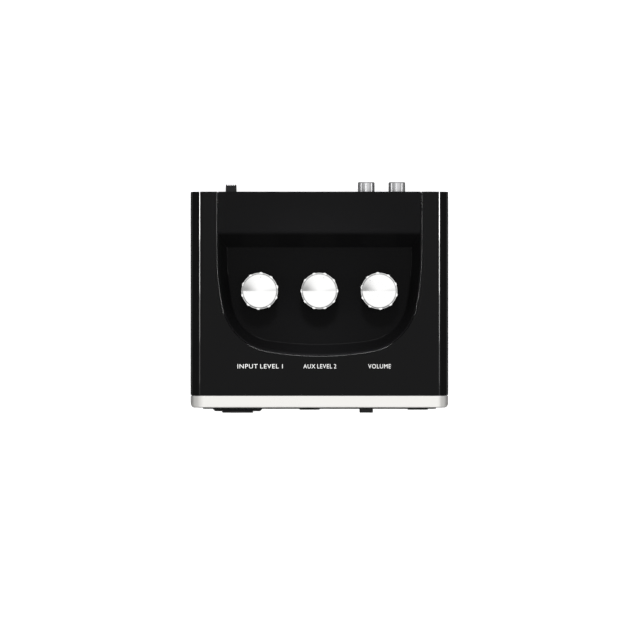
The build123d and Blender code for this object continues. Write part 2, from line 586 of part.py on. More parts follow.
def phone_jack_contacts(name):
    """Four contact springs beside the plug path, and the solder pins."""
    x = JACKS[name]
    parts = []
    for z in (JACK_Z - 3.7, JACK_Z + 3.7):
        for y0, y1 in ((-42.0, -37.0), (-33.5, -28.0)):
            parts.append(block(x - 1.3, x + 1.3, y0, y1, z - 0.15, z + 0.15))
    own = [p for p in JACK_PINS if abs(p[0] - x) < 6]
    return Compound(children=parts + solder_pins(own))


# ---- monitor button ----
SWITCH_FRONT, SWITCH_BACK, SWITCH_W, SPRING_BACK = -44.0, -31.0, 8.4, -33.2
PLUNGER_W, PLUNGER_BACK = 3.3, -38.4
SPRING_R, SPRING_WIRE = 1.15, 0.2


def monitor_button_cap():
    """Square push cap, hollow behind to grip the plunger."""
    cap = tablet(BUTTON_X, BUTTON_Z, BUTTON_W, BUTTON_W, 0.6, BUTTON_FRONT, -48.0)
    cap = fillet(cap.faces().sort_by(Axis.Y)[0].edges(), 0.35)
    half = PLUNGER_W / 2 + 0.02
    return cap - block(BUTTON_X - half, BUTTON_X + half, -52.5, -47, BUTTON_Z - half, BUTTON_Z + half)


def monitor_switch_plunger():
    return block(BUTTON_X - PLUNGER_W / 2, BUTTON_X + PLUNGER_W / 2, -52.4, PLUNGER_BACK,
                 BUTTON_Z - PLUNGER_W / 2, BUTTON_Z + PLUNGER_W / 2)


def monitor_switch_housing():
    half = SWITCH_W / 2
    body = block(BUTTON_X - half, BUTTON_X + half, SWITCH_FRONT, SWITCH_BACK,
                 MAIN_TOP, BUTTON_Z + half)
    body = chamfer(body.edges().filter_by(Axis.Y), 0.5)
    bore = (PLUNGER_W + 0.2) / 2
    return body - block(BUTTON_X - bore, BUTTON_X + bore, SWITCH_FRONT - 1, SPRING_BACK,
                        BUTTON_Z - bore, BUTTON_Z + bore)


def monitor_switch_spring():
    """Return spring behind the plunger."""
    start, end = PLUNGER_BACK + SPRING_WIRE + 0.05, SPRING_BACK - SPRING_WIRE - 0.05
    path = Helix(pitch=0.95, height=end - start, radius=SPRING_R,
                 center=(BUTTON_X, start, BUTTON_Z), direction=(0, 1, 0))
    return sweep(Plane(origin=path @ 0, z_dir=path % 0) * Circle(SPRING_WIRE), path=path)


def power_led():
    """Indicator lens in its right-angle holder."""
    lens = barrel(LED_X, LED_Z, LED_R, PANEL_FRONT - 0.1, -50.5)
    return fillet(lens.edges().filter_by(GeomType.CIRCLE).sort_by(Axis.Y)[0], 0.5)


def led_holder():
    body = block(LED_X - 2.6, LED_X + 2.6, -50.0, -44.8, MAIN_TOP, LED_Z + 2.6)
    body += barrel(LED_X, LED_Z, LED_R + 0.6, -50.5, -49.9)
    return body


# ---- rear connectors ----
def rca_jack_housing():
    """Black block that carries both output sockets on the board."""
    xs = list(RCAS.values())
    body = block(min(xs) - 7.2, max(xs) + 7.2, 36.5, 47.35, MAIN_TOP, RCA_Z + 5.6)
    body = fillet(body.edges().filter_by(Axis.Z), 0.8)
    for x in xs:
        body -= barrel(x, RCA_Z, 2.15, 39.5, 48)
    return body


def rca_shell(x):
    """Plated outer contact that the plug slides over."""
    shell = barrel(x, RCA_Z, RCA_R, RCA_FOOT, RCA_TIP)
    shell = fillet(shell.edges().filter_by(GeomType.CIRCLE).sort_by(Axis.Y)[-1], 0.6)
    return shell - barrel(x, RCA_Z, RCA_BORE, RCA_FOOT - 1, RCA_TIP + 1)


def rca_insulator(x):
    """Coloured insulator: collar that the shell stands on and core inside the shell."""
    collar = barrel(x, RCA_Z, 5.1, 47.35, RCA_FOOT)
    collar = chamfer(collar.edges().filter_by(GeomType.CIRCLE).sort_by(Axis.Y)[-1], 0.3)
    core = barrel(x, RCA_Z, RCA_BORE - 0.03, RCA_FOOT - 0.1, 55.4)
    return collar + core - barrel(x, RCA_Z, 2.15, 47, 56)


def rca_contact(x):
    """Centre contact tube, closed at its inner end."""
    return barrel(x, RCA_Z, 2.1, 40.0, 54.8) - barrel(x, RCA_Z, 1.65, 42.0, 55)


def phantom_switch_frame():
    """Folded metal frame of the slide switch, slotted for its lever."""
    middle = LEVER_X + LEVER_TRAVEL / 2
    frame = block(middle - 7.2, middle + 7.2, 41.0, 46.8, MAIN_TOP, 15.9)
    frame -= block(middle - 6.2, middle + 6.2, 42.0, 45.9, MAIN_TOP + 1.0, 14.9)
    return frame - block(middle - 5.3, middle + 5.3, 45.0, 48.0, LEVER_Z - 2.2, LEVER_Z + 2.2)


def phantom_switch_lever():
    """Slider block and the tapered lever with a ribbed end."""
    slider = block(LEVER_X - 3.9, LEVER_X + 3.9, 42.2, 45.7, LEVER_Z - 2.6, LEVER_Z + 2.6)
    foot_face = Pos(0, 45.6, 0) * (Plane.XZ * (Pos(LEVER_X, LEVER_Z) * Rectangle(6.1, 3.9)))
    tip_face = Pos(0, LEVER_TIP, 0) * (Plane.XZ * (Pos(LEVER_X, LEVER_Z) * Rectangle(5.3, 3.4)))
    lever = loft([foot_face, tip_face], ruled=True)
    for n in range(4):
        x = LEVER_X - 1.65 + 1.1 * n
        lever -= block(x - 0.25, x + 0.25, LEVER_TIP - 0.5, LEVER_TIP + 1, LEVER_Z - 3, LEVER_Z + 3)
    return slider + lever


def usb_port_shell():
    """Type B receptacle: metal shell round an insulator."""
    low, high = MAIN_TOP, MAIN_TOP + USB_H
    outer = block(USB_X - USB_W / 2, USB_X + USB_W / 2, 32.5, USB_REAR, low, high)
    outer = fillet(outer.edges().filter_by(Axis.Y), 0.5)
    wall = 0.4
    return outer - block(USB_X - USB_W / 2 + wall, USB_X + USB_W / 2 - wall, 33.0, USB_REAR + 1,
                         low + wall, high - wall)


def usb_port_insulator():
    """Plastic liner with the keyed opening and the central tongue."""
    low, high = MAIN_TOP + 0.45, MAIN_TOP + USB_H - 0.45
    half = USB_W / 2 - 0.45
    body = block(USB_X - half, USB_X + half, 33.1, USB_REAR - 0.3, low, high)
    middle = (low + high) / 2
    throat = Pos(USB_X, middle) * Rectangle(8.5, 7.9)
    throat = chamfer(throat.vertices().group_by(Axis.Y)[-1], 1.7)
    body -= slab(throat, 39.0, USB_REAR + 1)
    return body + block(USB_X - 2.8, USB_X + 2.8, 38.9, USB_REAR - 1.5, middle - 1.6, middle + 1.6)


def usb_port_contacts():
    """Four gold fingers on the tongue and the solder pins."""
    middle = MAIN_TOP + USB_H / 2
    fingers = [block(USB_X + dx - 0.5, USB_X + dx + 0.5, 39.2, 47.0, z, z + 0.25)
               for dx in (-1.25, 1.25) for z in (middle - 1.85, middle + 1.6)]
    return Compound(children=fingers + solder_pins(USB_PINS))


def parts():
    """Every node's name and shape."""
    made = {
        "top_cover": top_cover(),
        "control_dish": control_dish(),
        "front_bezel": front_bezel(),
        "front_panel": front_panel(),
        "rear_panel": rear_panel(),
        "bottom_tray": bottom_tray(),
        "security_lock_plate": lock_plate(),
        "main_board": main_board(),
        "control_board": control_board(),
        "board_link_header": board_link_header(),
        "board_link_socket": board_link_socket(),
        "combo_jack_housing": combo_jack_housing(),
        "combo_jack_core": combo_jack_core(),
        "combo_jack_contacts": combo_jack_contacts(),
        "monitor_button_cap": monitor_button_cap(),
        "monitor_switch_plunger": monitor_switch_plunger(),
        "monitor_switch_housing": monitor_switch_housing(),
        "monitor_switch_spring": monitor_switch_spring(),
        "power_led": power_led(),
        "power_led_holder": led_holder(),
        "rca_jack_housing": rca_jack_housing(),
        "phantom_switch_frame": phantom_switch_frame(),
        "phantom_switch_lever": phantom_switch_lever(),
        "usb_port_shell": usb_port_shell(),
        "usb_port_insulator": usb_port_insulator(),
        "usb_port_contacts": usb_port_contacts(),
        "clock_crystal": clock_crystal(),
        "power_inductor": power_inductor(),
        "converter_chip": gull_chip(26, -8, 9, 7, 1.6, 12, 0.65),
        "usb_controller_chip": gull_chip(-14, 8, 10, 10, 1.6, 12, 0.75),
    }
    for name in KNOBS:
        made[f"{name}_knob"] = knob(name)
        made[f"{name}_shaft"] = pot_shaft(name)
        made[f"{name}_pot"] = pot_body(name)
    for name in JACKS:
        made[f"{name}_jack_housing"] = phone_jack_housing(name)
        made[f"{name}_jack_contacts"] = phone_jack_contacts(name)
    for name, x in RCAS.items():
        made[f"output_{name}_shell"] = rca_shell(x)
        made[f"output_{name}_insulator"] = rca_insulator(x)
    for name, (x, y) in FEET.items():
        made[f"foot_{name}"] = foot(x, y)
    groups = {
        "pot_nuts": [pot_nut(x) for x, _ in KNOBS.values()],
        "output_centre_contacts": [rca_contact(x) for x in RCAS.values()]
        + solder_pins(RCA_PINS),
        "case_screws": [screw(x, y, TRAY_Z + 1.8, 17.0) for x, y in CASE_SCREWS],
        "main_board_screws": [screw(x, y, MAIN_TOP, TRAY_Z + 1.4) for x, y in MAIN_SCREWS],
        "control_board_screws": [screw(x, y, CONTROL_LOW, 30.6) for x, y in CONTROL_SCREWS],
        "preamp_chips": [gull_chip(x, -8, 5, 4, 1.5, 4, 1.27) for x in (-40, -30, -20)],
        "electrolytic_capacitors": [electrolytic(*place) for place in CAPACITORS],
    }
    for name, solids in groups.items():
        made[name] = Compound(children=solids)
    return made


def main():
    os.makedirs("parts", exist_ok=True)
    for name, shape in parts().items():
        export_step(shape, f"parts/{name}.step")


main()
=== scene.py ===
import json
from math import atan2, cos, pi, radians, sin, sqrt

import bmesh
import bpy
from mathutils import Matrix, Vector


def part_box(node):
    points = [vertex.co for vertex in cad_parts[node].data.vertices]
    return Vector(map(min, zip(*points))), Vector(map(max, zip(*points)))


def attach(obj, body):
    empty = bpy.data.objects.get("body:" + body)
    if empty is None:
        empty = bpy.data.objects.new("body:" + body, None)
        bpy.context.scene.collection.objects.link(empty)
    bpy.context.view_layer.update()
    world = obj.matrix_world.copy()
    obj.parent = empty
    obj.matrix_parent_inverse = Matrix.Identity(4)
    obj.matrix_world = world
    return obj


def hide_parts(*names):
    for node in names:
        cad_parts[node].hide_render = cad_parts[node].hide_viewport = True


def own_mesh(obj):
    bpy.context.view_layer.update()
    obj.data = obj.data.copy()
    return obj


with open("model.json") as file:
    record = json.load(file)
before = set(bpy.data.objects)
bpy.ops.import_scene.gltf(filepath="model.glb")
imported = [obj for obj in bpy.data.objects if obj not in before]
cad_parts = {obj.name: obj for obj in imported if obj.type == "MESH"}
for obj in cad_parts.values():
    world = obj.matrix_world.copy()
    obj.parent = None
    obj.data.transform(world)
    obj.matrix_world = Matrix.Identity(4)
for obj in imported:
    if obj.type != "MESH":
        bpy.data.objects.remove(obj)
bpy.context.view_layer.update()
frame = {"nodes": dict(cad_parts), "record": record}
nodes = frame["nodes"]
scene = bpy.context.scene
millimetre = 0.001

# a long lens straight above the desk, so that nearly nothing leans away
shot = {
    "lens": 1000.0, "sensor": 36.0,
    "span": 0.320,              # width in view
    "height": 0.026,            # at this height above the desk
    "aim": (0.0003, -0.0113),
    "clip": (0.05, 30.0),
}


def placeCamera():
    data = bpy.data.cameras.new("overhead")
    data.lens = shot["lens"]
    data.sensor_width = shot["sensor"]
    data.clip_start, data.clip_end = shot["clip"]
    camera = bpy.data.objects.new("overhead", data)
    reach = shot["span"] / 2 * shot["lens"] / (shot["sensor"] / 2)
    camera.location = (*shot["aim"], shot["height"] + reach)  # straight down, rear edge at the top
    scene.collection.objects.link(camera)
    scene.camera = camera


placeCamera()
print("stage: camera")


def addNode(tree, kind, inputs=None, **settings):
    node = tree.nodes.new(kind)
    for key, value in settings.items():
        setattr(node, key, value)
    for key, value in (inputs or {}).items():
        if isinstance(value, bpy.types.NodeSocket):
            tree.links.new(value, node.inputs[key])
        else:
            node.inputs[key].default_value = value
    return node


def maths(tree, operation, *values, clamp=False):
    node = addNode(tree, "ShaderNodeMath", dict(enumerate(values)), operation=operation)
    node.use_clamp = clamp
    return node.outputs[0]


def noise(tree, where, size, detail):
    return addNode(tree, "ShaderNodeTexNoise",
                   {"Vector": where, "Scale": 1 / size, "Detail": detail}).outputs["Fac"]


def remap(tree, value, low, high, toLow, toHigh):
    return addNode(tree, "ShaderNodeMapRange",
                   {"Value": value, "From Min": low, "From Max": high,
                    "To Min": toLow, "To Max": toHigh}).outputs["Result"]


def blendColour(tree, amount, first, second):
    node = addNode(tree, "ShaderNodeMix", data_type="RGBA")
    for index, value in ((0, amount), (6, first), (7, second)):
        if isinstance(value, bpy.types.NodeSocket):
            tree.links.new(value, node.inputs[index])
        else:
            node.inputs[index].default_value = value
    return node.outputs[2]


def tone(colour, factor=1.0):
    return (*[min(1.0, channel * factor) for channel in colour], 1.0)


plainLook = {  # what a finish has unless it says otherwise
    "colour": (0.5, 0.5, 0.5), "patch": 0.02, "drift": 0.10,       # colour, size and depth of its drift
    "rough": 0.4, "roughDrift": 0.06, "metal": 0.0, "specular": 0.5,
    "grain": 0.0004, "grainDepth": 0.000004,                       # texture size and height
    "brushed": None,                                               # stretches the grain along an axis
    "turned": None, "rings": 900.0, "ringShare": 0.6,              # centre, fineness and depth of lathe rings
    "wear": 0.0, "wearColour": (0.5, 0.5, 0.5), "wearWidth": 0.0003,
    "wearMatch": (0.80, 0.99),                                     # sharp edges that wear fully, and flats
    "coat": 0.0, "coatRough": 0.1, "glow": 0.0, "clear": 0.0, "ior": 1.5,
    "paintedSheenHeight": 0.0, "paintedSheenColour": (0.5, 0.5, 0.5),                  # painted sheen: a lighter colour above a height, in place of the glossier reflection of a raised top
    "paintedSheenFade": 0.0008,
    "midRange": (0.3, 0.7),                                        # where the noise has most of its values
}


def makeFinish(name, **changes):
    look = dict(plainLook, **changes)
    material = bpy.data.materials.new(name)
    material.use_nodes = True
    tree = material.node_tree
    tree.nodes.clear()
    where = addNode(tree, "ShaderNodeTexCoord").outputs["Object"]
    streaks = where
    if look["brushed"]:
        streaks = addNode(tree, "ShaderNodeMapping", {"Vector": where, "Scale": look["brushed"]}).outputs[0]
    cloud = noise(tree, where, look["patch"], 3.0)
    fine = noise(tree, streaks, look["grain"], 2.0)
    colour = blendColour(tree, cloud, tone(look["colour"], 1 - look["drift"]),
                         tone(look["colour"], 1 + look["drift"]))
    # painted sheen: above the given height the colour blends to a lighter one, standing in for a glossier
    # reflection
    if look["paintedSheenHeight"]:
        level = addNode(tree, "ShaderNodeSeparateXYZ", {0: where}).outputs[2]
        above = remap(tree, level, look["paintedSheenHeight"], look["paintedSheenHeight"] + look["paintedSheenFade"], 0.0, 1.0)
        colour = blendColour(tree, above, colour, tone(look["paintedSheenColour"]))
    rough = maths(tree, "ADD", remap(tree, fine, *look["midRange"], -0.5, 0.5),
                  remap(tree, cloud, *look["midRange"], -0.5, 0.5))
    rough = maths(tree, "MULTIPLY_ADD", rough, look["roughDrift"], look["rough"], clamp=True)
    height = fine
    if look["turned"]:
        centred = addNode(tree, "ShaderNodeMapping",
                          {"Vector": where, "Location": tuple(-place for place in look["turned"])}).outputs[0]
        rings = addNode(tree, "ShaderNodeTexWave",
                        {"Vector": centred, "Scale": look["rings"], "Distortion": 0.4, "Detail": 2.0},
                        wave_type="RINGS", rings_direction="Z").outputs["Fac"]
        height = maths(tree, "MULTIPLY_ADD", rings, look["ringShare"], fine)
    bump = addNode(tree, "ShaderNodeBump",
                   {"Height": height, "Strength": 1.0, "Distance": look["grainDepth"]}).outputs["Normal"]
    if look["wear"]:
        soft = addNode(tree, "ShaderNodeBevel", {"Radius": look["wearWidth"]}, samples=4).outputs["Normal"]
        sharp = addNode(tree, "ShaderNodeNewGeometry").outputs["Normal"]
        match = addNode(tree, "ShaderNodeVectorMath", {0: soft, 1: sharp},
                        operation="DOT_PRODUCT").outputs["Value"]
        edge = remap(tree, match, *look["wearMatch"], look["wear"], 0.0)
        scuffed = maths(tree, "MULTIPLY", edge, remap(tree, cloud, 0.35, 0.65, 0.3, 1.0), clamp=True)
        colour = blendColour(tree, scuffed, colour, tone(look["wearColour"]))
    shader = addNode(tree, "ShaderNodeBsdfPrincipled", {
        "Base Color": colour, "Roughness": rough, "Metallic": look["metal"],
        "Specular IOR Level": look["specular"], "IOR": look["ior"], "Normal": bump,
        "Coat Weight": look["coat"], "Coat Roughness": look["coatRough"],
        "Transmission Weight": look["clear"], "Emission Strength": look["glow"],
        "Emission Color": tone(look["colour"]),
    })
    output = addNode(tree, "ShaderNodeOutputMaterial")
    tree.links.new(shader.outputs[0], output.inputs["Surface"])
    return material


# one finish for each of the record's material slots
finishes = {
    "cover_plastic": dict(colour=(0.0013, 0.0013, 0.0015), rough=0.45, roughDrift=0.04, specular=0.004,
                          coat=0.205, coatRough=0.05, grain=0.00035, grainDepth=0.0000006,
                          wear=0.3, wearColour=(0.012, 0.012, 0.013)),
    # the dish's raised bridge top gets a painted sheen: it is coloured lighter in place of the glossier
    # reflection it really has
    "dish_plastic": dict(colour=(0.0011, 0.0011, 0.0012), rough=0.80, roughDrift=0.04, specular=0.049,
                         coat=0.04, coatRough=0.06, grain=0.0003, grainDepth=0.0000006,
                         paintedSheenHeight=0.0388, paintedSheenColour=(0.0035, 0.0035, 0.0038),
                         wear=0.3, wearColour=(0.012, 0.012, 0.013)),
    "tray_plastic": dict(colour=(0.006, 0.006, 0.0065), rough=0.42, specular=0.2,
                         grain=0.0005, grainDepth=0.00001),
    "bezel_silver": dict(colour=(0.785, 0.775, 0.75), rough=0.28, metal=0.78, specular=0.5, roughDrift=0.01,
                         grain=0.0002, grainDepth=0.00000012, drift=0.01, patch=0.06),
    "front_panel_black": dict(colour=(0.0025, 0.0025, 0.0028), rough=0.10, specular=0.30,
                              grain=0.0006, grainDepth=0.0000006),
    "rear_panel_black": dict(colour=(0.008, 0.008, 0.009), rough=0.5, specular=0.3,
                             grain=0.0004, grainDepth=0.00002),
    "steel_plate": dict(colour=(0.62, 0.62, 0.63), rough=0.28, metal=1.0, brushed=(0.05, 1, 1),
                        grain=0.0002, grainDepth=0.000002),
    "circuit_board": dict(colour=(0.012, 0.10, 0.045), rough=0.35, specular=0.5, coat=0.3),
    "black_housing": dict(colour=(0.0045, 0.0045, 0.005), rough=0.30, specular=0.2,
                          grain=0.0004, grainDepth=0.000004),
    "combo_core_plastic": dict(colour=(0.016, 0.016, 0.017), rough=0.42, specular=0.35,
                               grain=0.0004, grainDepth=0.000008),
    "contact_metal": dict(colour=(0.83, 0.66, 0.34), rough=0.22, metal=1.0),
    "knob_metal": dict(colour=(0.93, 0.93, 0.93), rough=0.10, metal=1.0, drift=0.01, roughDrift=0.02,
                       grain=0.0003, grainDepth=0.0000004),
    "shaft_steel": dict(colour=(0.66, 0.66, 0.67), rough=0.25, metal=1.0),
    "pot_case": dict(colour=(0.55, 0.56, 0.56), rough=0.3, metal=1.0, grain=0.0004),
    "screw_steel": dict(colour=(0.5, 0.5, 0.51), rough=0.32, metal=1.0),
    "case_screw_black": dict(colour=(0.05, 0.05, 0.052), rough=0.35, metal=0.8,
                             wear=0.8, wearColour=(0.3, 0.3, 0.3)),
    "button_black": dict(colour=(0.006, 0.006, 0.0065), rough=0.35, specular=0.25, grain=0.0003),
    "plunger_white": dict(colour=(0.8, 0.8, 0.78), rough=0.4),
    "spring_steel": dict(colour=(0.6, 0.6, 0.6), rough=0.25, metal=1.0),
    "led_lens": dict(colour=(0.35, 0.85, 0.42), rough=0.08, clear=0.85, drift=0.03, glow=0.15),
    "lever_black": dict(colour=(0.010, 0.010, 0.011), rough=0.42, specular=0.3,
                        grain=0.0003, grainDepth=0.000004),
    "rca_plating": dict(colour=(0.62, 0.62, 0.63), rough=0.16, metal=1.0, drift=0.05,
                        brushed=(1, 0.06, 1), grain=0.0004, grainDepth=0.000004),
    "rca_white": dict(colour=(0.78, 0.77, 0.73), rough=0.28, specular=0.5),
    "rca_red": dict(colour=(0.45, 0.012, 0.012), rough=0.28, specular=0.5),
    "usb_white": dict(colour=(0.75, 0.75, 0.72), rough=0.4),
    "chip_black": dict(colour=(0.012, 0.012, 0.013), rough=0.5, specular=0.4),
    "capacitor_sleeve": dict(colour=(0.20, 0.21, 0.26), rough=0.3, metal=0.7),
    "crystal_can": dict(colour=(0.7, 0.7, 0.71), rough=0.25, metal=1.0),
    "ferrite": dict(colour=(0.04, 0.04, 0.042), rough=0.6),
    "foot_rubber": dict(colour=(0.012, 0.012, 0.0125), rough=0.75, specular=0.3,
                        grain=0.0003, grainDepth=0.00001),
}
materials = {slotName: makeFinish(slotName, **look) for slotName, look in finishes.items()}
for subpart in frame["record"]["subparts"]:
    for place in nodes[subpart["node"]].material_slots:
        place.material = materials[subpart["material_slot"]]
print("stage: finishes", len(materials))


surroundings = {  # spans are sines of the angle from straight up
    "wash": 1.45,               # even light that reaches matt surfaces
    "overhead": 1.06,           # what bright metal mirrors from above
    "leftShade": 0.66,          # darker wedge above, behind and to the left
    "leftWidth": 0.62,
    "leftSpan": (0.03, 0.44),
    "rightShade": 0.22,         # faint one to the right
    "rightWidth": 0.16,
    "rightSpan": (0.0, 0.40),
    "rightStart": 0.04,
    "horizon": 0.40,            # level of the far walls at the sides and behind
    "horizonLean": 0.37,        # how much darker they are in front
    "wallSpan": (0.62, 0.93),
    "below": 0.10,              # level straight below
    "belowSpan": (-0.75, -0.15),  # by height, with -1 straight down
}


def makeWorld(look):
    world = bpy.data.worlds.new("studio")
    scene.world = world
    world.use_nodes = True
    tree = world.node_tree
    tree.nodes.clear()

    def reckon(operation, *values, clamp=False):
        return maths(tree, operation, *values, clamp=clamp)

    def mixed(share, first, second):
        return reckon("ADD", reckon("MULTIPLY", first, reckon("SUBTRACT", 1.0, share)),
                      reckon("MULTIPLY", second, share))

    def wedge(angle, width):
        across = reckon("DIVIDE", angle, width)
        return reckon("EXPONENT", reckon("MULTIPLY", reckon("MULTIPLY", across, across), -1.0))

    direction = addNode(tree, "ShaderNodeTexCoord").outputs["Generated"]
    east, north, up = addNode(tree, "ShaderNodeSeparateXYZ", {0: direction}).outputs
    spread = reckon("SQRT", reckon("ADD", reckon("MULTIPLY", east, east), reckon("MULTIPLY", north, north)))
    turn = reckon("ARCTAN2", north, reckon("MULTIPLY", east, -1.0))
    left = reckon("MULTIPLY", wedge(turn, look["leftWidth"]),
                  remap(tree, spread, *look["leftSpan"], 0.0, look["leftShade"]))
    right = reckon("MULTIPLY", wedge(reckon("SUBTRACT", turn, pi), look["rightWidth"]),
                   remap(tree, spread, *look["rightSpan"], look["rightStart"], look["rightShade"]))
    shade = reckon("MULTIPLY", reckon("ADD", left, right), reckon("GREATER_THAN", north, 0.0))
    sky = reckon("MULTIPLY", reckon("SUBTRACT", 1.0, shade, clamp=True), look["overhead"])
    walls = reckon("MULTIPLY_ADD", north, look["horizonLean"], look["horizon"])
    walls = reckon("MINIMUM", walls, look["horizon"])
    ground = reckon("MULTIPLY", walls,
                    remap(tree, up, *look["belowSpan"], look["below"] / look["horizon"], 1.0))
    sky = mixed(remap(tree, spread, *look["wallSpan"], 0.0, 1.0), sky, walls)
    sky = mixed(reckon("LESS_THAN", up, 0.0), sky, ground)
    mirrored = addNode(tree, "ShaderNodeLightPath").outputs["Is Glossy Ray"]
    strength = mixed(mirrored, look["wash"], sky)
    background = addNode(tree, "ShaderNodeBackground", {"Color": (1, 1, 1, 1), "Strength": strength})
    output = addNode(tree, "ShaderNodeOutputWorld")
    tree.links.new(background.outputs[0], output.inputs["Surface"])


def addCard(name, centre, aim, size, radiance):
    data = bpy.data.lights.new(name, "AREA")
    data.shape = "RECTANGLE"
    data.size, data.size_y = size
    data.energy = radiance * pi * size[0] * size[1]
    card = bpy.data.objects.new(name, data)
    card.location = centre
    card.rotation_euler = (Vector(aim) - Vector(centre)).to_track_quat("-Z", "Y").to_euler()
    card.visible_camera = False
    card.visible_diffuse = False
    scene.collection.objects.link(card)
    return card


strips = {  # bright strips that the cover's rounded edges and the dish's front lip mirror
    "reach": 0.30, "width": 0.060,
    "lean": {"left": 38.5, "right": 42, "rear": 42},     # degrees from straight up
    "glow": 225.0,
    "gain": {"left": 1.0, "right": 1.25},
    "dishShare": 0.09,                                   # the dish takes less of it than the cover
    "edge": 0.060, "lip": -0.027,                        # where they are aimed
    "side": ((0.060, 0.030, 1.0), (0.032, 0.026, 0.55), (0.008, 0.022, 0.24), (-0.014, 0.022, 0.08),
             (-0.036, 0.022, 0.022)),                    # place along the body, length, share of the glow
    "rear": {"length": 0.16, "share": 0.5},
}
barrels = {  # soft cards that only the plated phono barrels mirror
    "lean": 76, "reach": 0.25, "size": (0.05, 0.125), "glow": 1.9,
    "crown": {"lean": -7, "size": (0.05, 0.009), "glow": 2.2},
}
sweep = {  # soft light from behind, across the dish's front half
    "power": 30.0, "from": (0.0, 0.20, 0.30), "to": (0.0, -0.034, 0.0343), "cone": 15.0, "size": 0.035,
}


def shineOn(card, *names):
    targets = bpy.data.collections.new(f"{card.name}_targets")
    for name in names:
        targets.objects.link(nodes[name])
    card.light_linking.receiver_collection = targets


def lightCover(target, gain):
    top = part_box("top_cover")[1].z
    glow = strips["glow"] * gain
    offsets = {}
    for name, degrees in strips["lean"].items():
        lean = radians(degrees)
        offsets[name] = (strips["reach"] * sin(lean), strips["reach"] * cos(lean))
    for side, name in ((-1, "left"), (1, "right")):
        out, up = offsets[name]
        edge = side * strips["edge"]
        for index, (along, length, share) in enumerate(strips["side"]):
            card = addCard(f"strip_{name}_{index}_{target}", (side * (strips["edge"] + out), along, top + up),
                           (edge, along, top), (length, strips["width"]), glow * share * strips["gain"][name])
            card.rotation_euler.rotate_axis("Z", pi / 2)
            shineOn(card, target)
    out, up = offsets["rear"]
    rear = strips["rear"]
    card = addCard(f"strip_rear_{target}", (0.0, strips["lip"] + out, top + up), (0.0, strips["lip"], top),
                   (rear["length"], strips["width"]), glow * rear["share"])
    shineOn(card, target)


def lightBarrels():
    shells = ("output_left_shell", "output_right_shell")
    low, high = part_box(shells[0])
    behind = (low.y + high.y) / 2
    middle = (low.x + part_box(shells[1])[1].x) / 2
    crown = barrels["crown"]
    for name, angle, card in (("left", -barrels["lean"], barrels), ("right", barrels["lean"], barrels),
                              ("crown", crown["lean"], crown)):
        aside, over = barrels["reach"] * sin(radians(angle)), barrels["reach"] * cos(radians(angle))
        lamp = addCard(f"barrel_card_{name}", (middle + aside, behind, high.z + over),
                       (middle, behind, high.z), card["size"], card["glow"])
        lamp.rotation_euler.rotate_axis("Z", pi / 2)
        shineOn(lamp, *shells)


def lightDish():
    data = bpy.data.lights.new("sweep", "SPOT")
    data.energy, data.shadow_soft_size = sweep["power"], sweep["size"]
    data.spot_size, data.spot_blend = radians(sweep["cone"]), 1.0
    spot = bpy.data.objects.new("sweep", data)
    spot.location = sweep["from"]
    spot.rotation_euler = (Vector(sweep["to"]) - Vector(sweep["from"])).to_track_quat("-Z", "Y").to_euler()
    spot.visible_glossy = False
    scene.collection.objects.link(spot)
    shineOn(spot, "control_dish")


def lightStage():
    makeWorld(surroundings)
    lightCover("top_cover", 1.0)
    lightCover("control_dish", strips["dishShare"])
    lightBarrels()
    lightDish()


def layFloor():
    look = {"half": 3.0, "colour": (0.9, 0.9, 0.9, 1.0), "rough": 0.9, "glow": 0.45}
    mesh = bpy.data.meshes.new("floor")
    shape = bmesh.new()
    bmesh.ops.create_grid(shape, x_segments=1, y_segments=1, size=look["half"])
    shape.to_mesh(mesh)
    shape.free()
    floor = bpy.data.objects.new("floor", mesh)
    scene.collection.objects.link(floor)
    material = bpy.data.materials.new("pale_floor")
    material.use_nodes = True
    shader = material.node_tree.nodes["Principled BSDF"]
    shader.inputs["Base Color"].default_value = look["colour"]
    shader.inputs["Roughness"].default_value = look["rough"]
    shader.inputs["Emission Color"].default_value = look["colour"]
    shader.inputs["Emission Strength"].default_value = look["glow"]
    mesh.materials.append(material)
    floor.visible_glossy = False


mergeDistance = 0.000001


def finishPiece(name, shape, material, body, sharpAngle=35):
    bmesh.ops.recalc_face_normals(shape, faces=shape.faces)
    mesh = bpy.data.meshes.new(name)
    shape.to_mesh(mesh)
    shape.free()
    mesh.shade_smooth()
    mesh.set_sharp_from_angle(angle=radians(sharpAngle))
    mesh.materials.append(material)
    piece = bpy.data.objects.new(name, mesh)
    scene.collection.objects.link(piece)
    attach(piece, body)
    return piece


# the open edge grows by one more ring, with each of its corners put where place() says
def growRing(shape, edges, place):
    made = bmesh.ops.extrude_edge_only(shape, edges=edges)["geom"]
    for vert in (item for item in made if isinstance(item, bmesh.types.BMVert)):
        vert.co = place(vert.co)
    return [item for item in made if isinstance(item, bmesh.types.BMEdge)]


